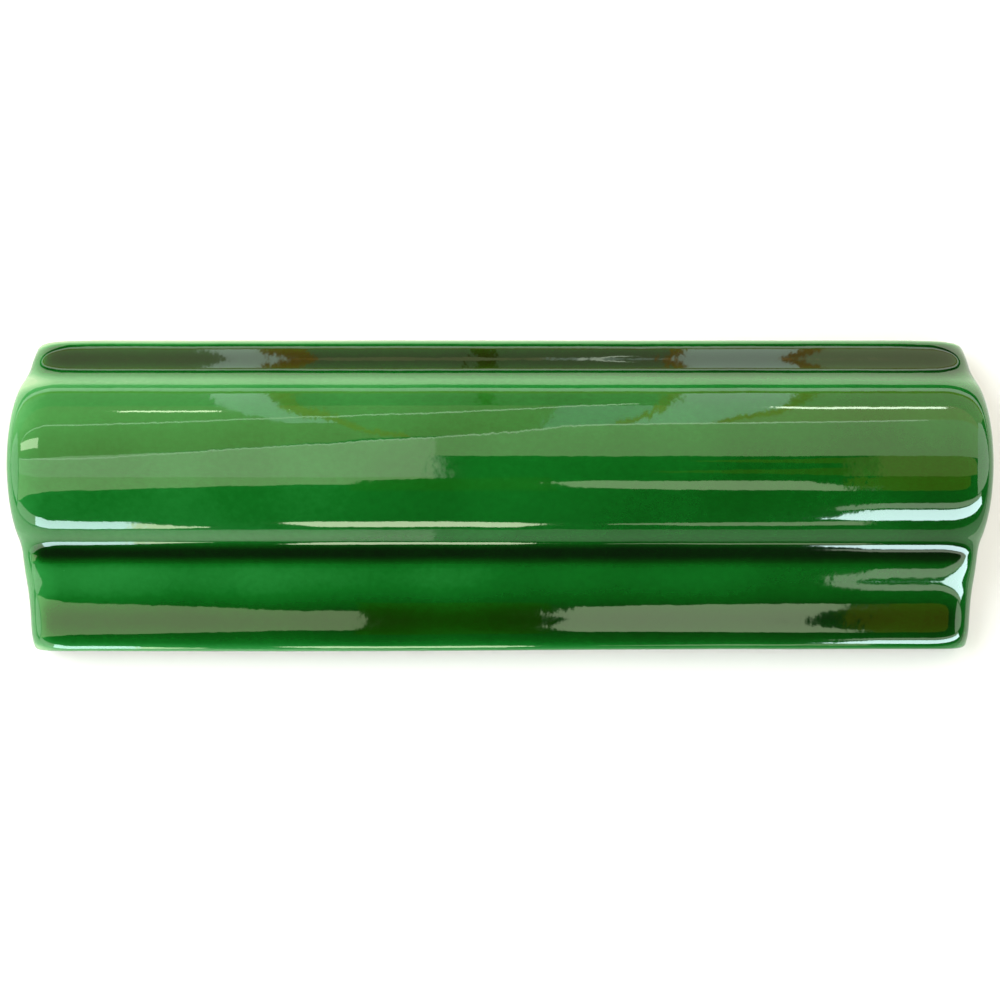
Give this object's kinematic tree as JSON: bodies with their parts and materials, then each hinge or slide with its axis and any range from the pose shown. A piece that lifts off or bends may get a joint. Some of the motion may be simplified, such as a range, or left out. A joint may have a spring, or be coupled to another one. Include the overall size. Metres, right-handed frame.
{
  "type": "border tile",
  "caption": "Glossy green glazed ceramic border tile with a dado moulding face: a big torus between a sloping upper lip and a hollowed lower flange, for capping or banding a tiled wall.",
  "frame": {"origin": "centre of the flat back, where the tile meets the wall or lies on the floor", "axes": "+X along the tile's length, +Y across it towards the thin upper lip, +Z out of the moulded face"},
  "size_m": [0.1524, 0.0508, 0.021],
  "materials": {
    "green_glaze": "gloss"
  },
  "bodies": {
    "root": {"border_tile": "green_glaze"}
  },
  "joints": []
}
